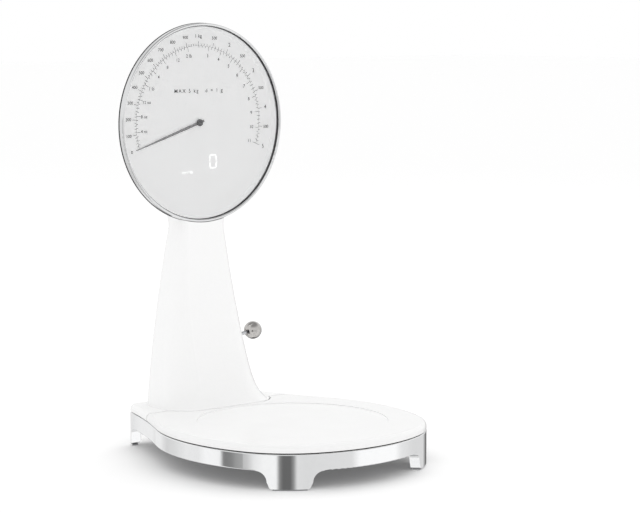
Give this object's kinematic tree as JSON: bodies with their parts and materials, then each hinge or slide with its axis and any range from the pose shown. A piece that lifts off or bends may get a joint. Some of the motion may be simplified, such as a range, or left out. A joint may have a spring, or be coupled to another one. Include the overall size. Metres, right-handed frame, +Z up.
{
  "type": "kitchen scale",
  "caption": "Upright kitchen scale with a round dial head on a tapered column, a recessed weighing plate, a footed chrome base ring and a side tare lever.",
  "frame": {"origin": "on the ground at the middle of the base's width and length", "axes": "+Z up, -Y towards the user (the dial faces -Y), +X to the side that the tare lever comes out of"},
  "size_m": [0.2024, 0.244, 0.3448],
  "materials": {
    "chrome_base": "polished die casting",
    "chrome_bezel": "polished ring",
    "white_gloss": "gloss white moulding",
    "white_plate": "gloss white moulding",
    "rubber_pad": "matt",
    "dark_plastic": "fine texture",
    "grey_plastic": "satin",
    "cell_aluminium": "machined",
    "steel": "zinc plated",
    "nickel_knob": "satin nickel",
    "spring_steel": "spring wire",
    "brass_gear": "cut brass",
    "board_green": "solder mask",
    "battery_wrap": "foil wrap",
    "glass_clear": "clear",
    "dial_white": "printed satin face",
    "pointer_silver": "bright",
    "display_dark": "display module"
  },
  "bodies": {
    "stand": {"base_ring": "chrome_base", "foot_pads": "rubber_pad", "bottom_cover": "dark_plastic", "cover_screws": "steel", "load_cell": "cell_aluminium", "strain_gauges": "battery_wrap", "load_cell_spacer": "steel", "load_cell_screws": "steel", "main_board": "board_green", "board_components": "dark_plastic", "board_screws": "steel", "battery_pack": "battery_wrap", "battery_tape": "dark_plastic", "battery_lead": "dark_plastic", "load_cell_lead": "dark_plastic", "display_ribbon": "grey_plastic", "column_shell": "white_gloss", "column_back_panel": "white_gloss", "column_screws": "steel", "column_foot_screws": "steel", "charging_socket": "steel", "socket_board": "board_green", "lever_escutcheon": "dark_plastic", "lever_bracket": "grey_plastic", "bracket_screws": "steel", "lever_pivot_pin": "steel", "lever_spring": "spring_steel", "tare_switch": "dark_plastic", "head_housing": "white_gloss", "head_screws": "steel", "bezel": "chrome_bezel", "dial_glass": "glass_clear", "glass_gasket": "rubber_pad", "dial_spacer": "dial_white", "dial_plate": "dial_white", "led_display": "display_dark", "unit_indicator": "display_dark", "led_board": "board_green", "drive_case": "grey_plastic", "drive_case_lid": "grey_plastic", "drive_screws": "steel", "gauge_motor": "steel"},
    "platform": {"weighing_plate": "white_plate", "platform_spider": "cell_aluminium", "platform_spacer": "steel", "platform_screws": "steel", "plate_retainers": "steel"},
    "pointer": {"pointer": "pointer_silver", "pointer_cap": "dark_plastic", "pointer_arbor": "steel", "drive_gear": "brass_gear"},
    "rotor": {"rotor_shaft": "steel", "motor_pinion": "brass_gear"},
    "tare_lever": {"lever_hub": "dark_plastic", "lever_stem": "steel", "lever_knob": "nickel_knob"},
    "plunger": {"switch_plunger": "grey_plastic"}
  },
  "joints": [
    {"name": "platform_travel", "type": "slide", "parent": "stand", "child": "platform", "axis": [0, 0, 1], "range_m": [-0.0005, 0], "stiffness_N_per_m": 100000, "springref_m": 0.0001, "deforming": ["load_cell"]},
    {"name": "pointer_turn", "type": "hinge", "parent": "stand", "child": "pointer", "pos_m": [0, 0.0999, 0.2636], "axis": [0, 1, 0], "range_deg": [0, 216]},
    {"name": "motor_turn", "type": "hinge", "parent": "stand", "child": "rotor", "pos_m": [0, 0.1054, 0.2761], "axis": [0, 1, 0], "range_deg": [-864, 0]},
    {"name": "tare_lever_press", "type": "hinge", "parent": "stand", "child": "tare_lever", "pos_m": [0.02, 0.101, 0.0802], "axis": [0, 1, 0], "range_deg": [0, 8], "stiffness_Nm_per_rad": 0.2, "springref_deg": -20.05, "deforming": ["lever_spring"]},
    {"name": "switch_press", "type": "slide", "parent": "stand", "child": "plunger", "axis": [0, 0, 1], "range_m": [0, 0.001]}
  ],
  "couplings": [
    {"joint": "motor_turn", "follows": "pointer_turn", "ratio": -4},
    {"joint": "switch_press", "follows": "tare_lever_press", "m_per_rad": 0.007}
  ]
}
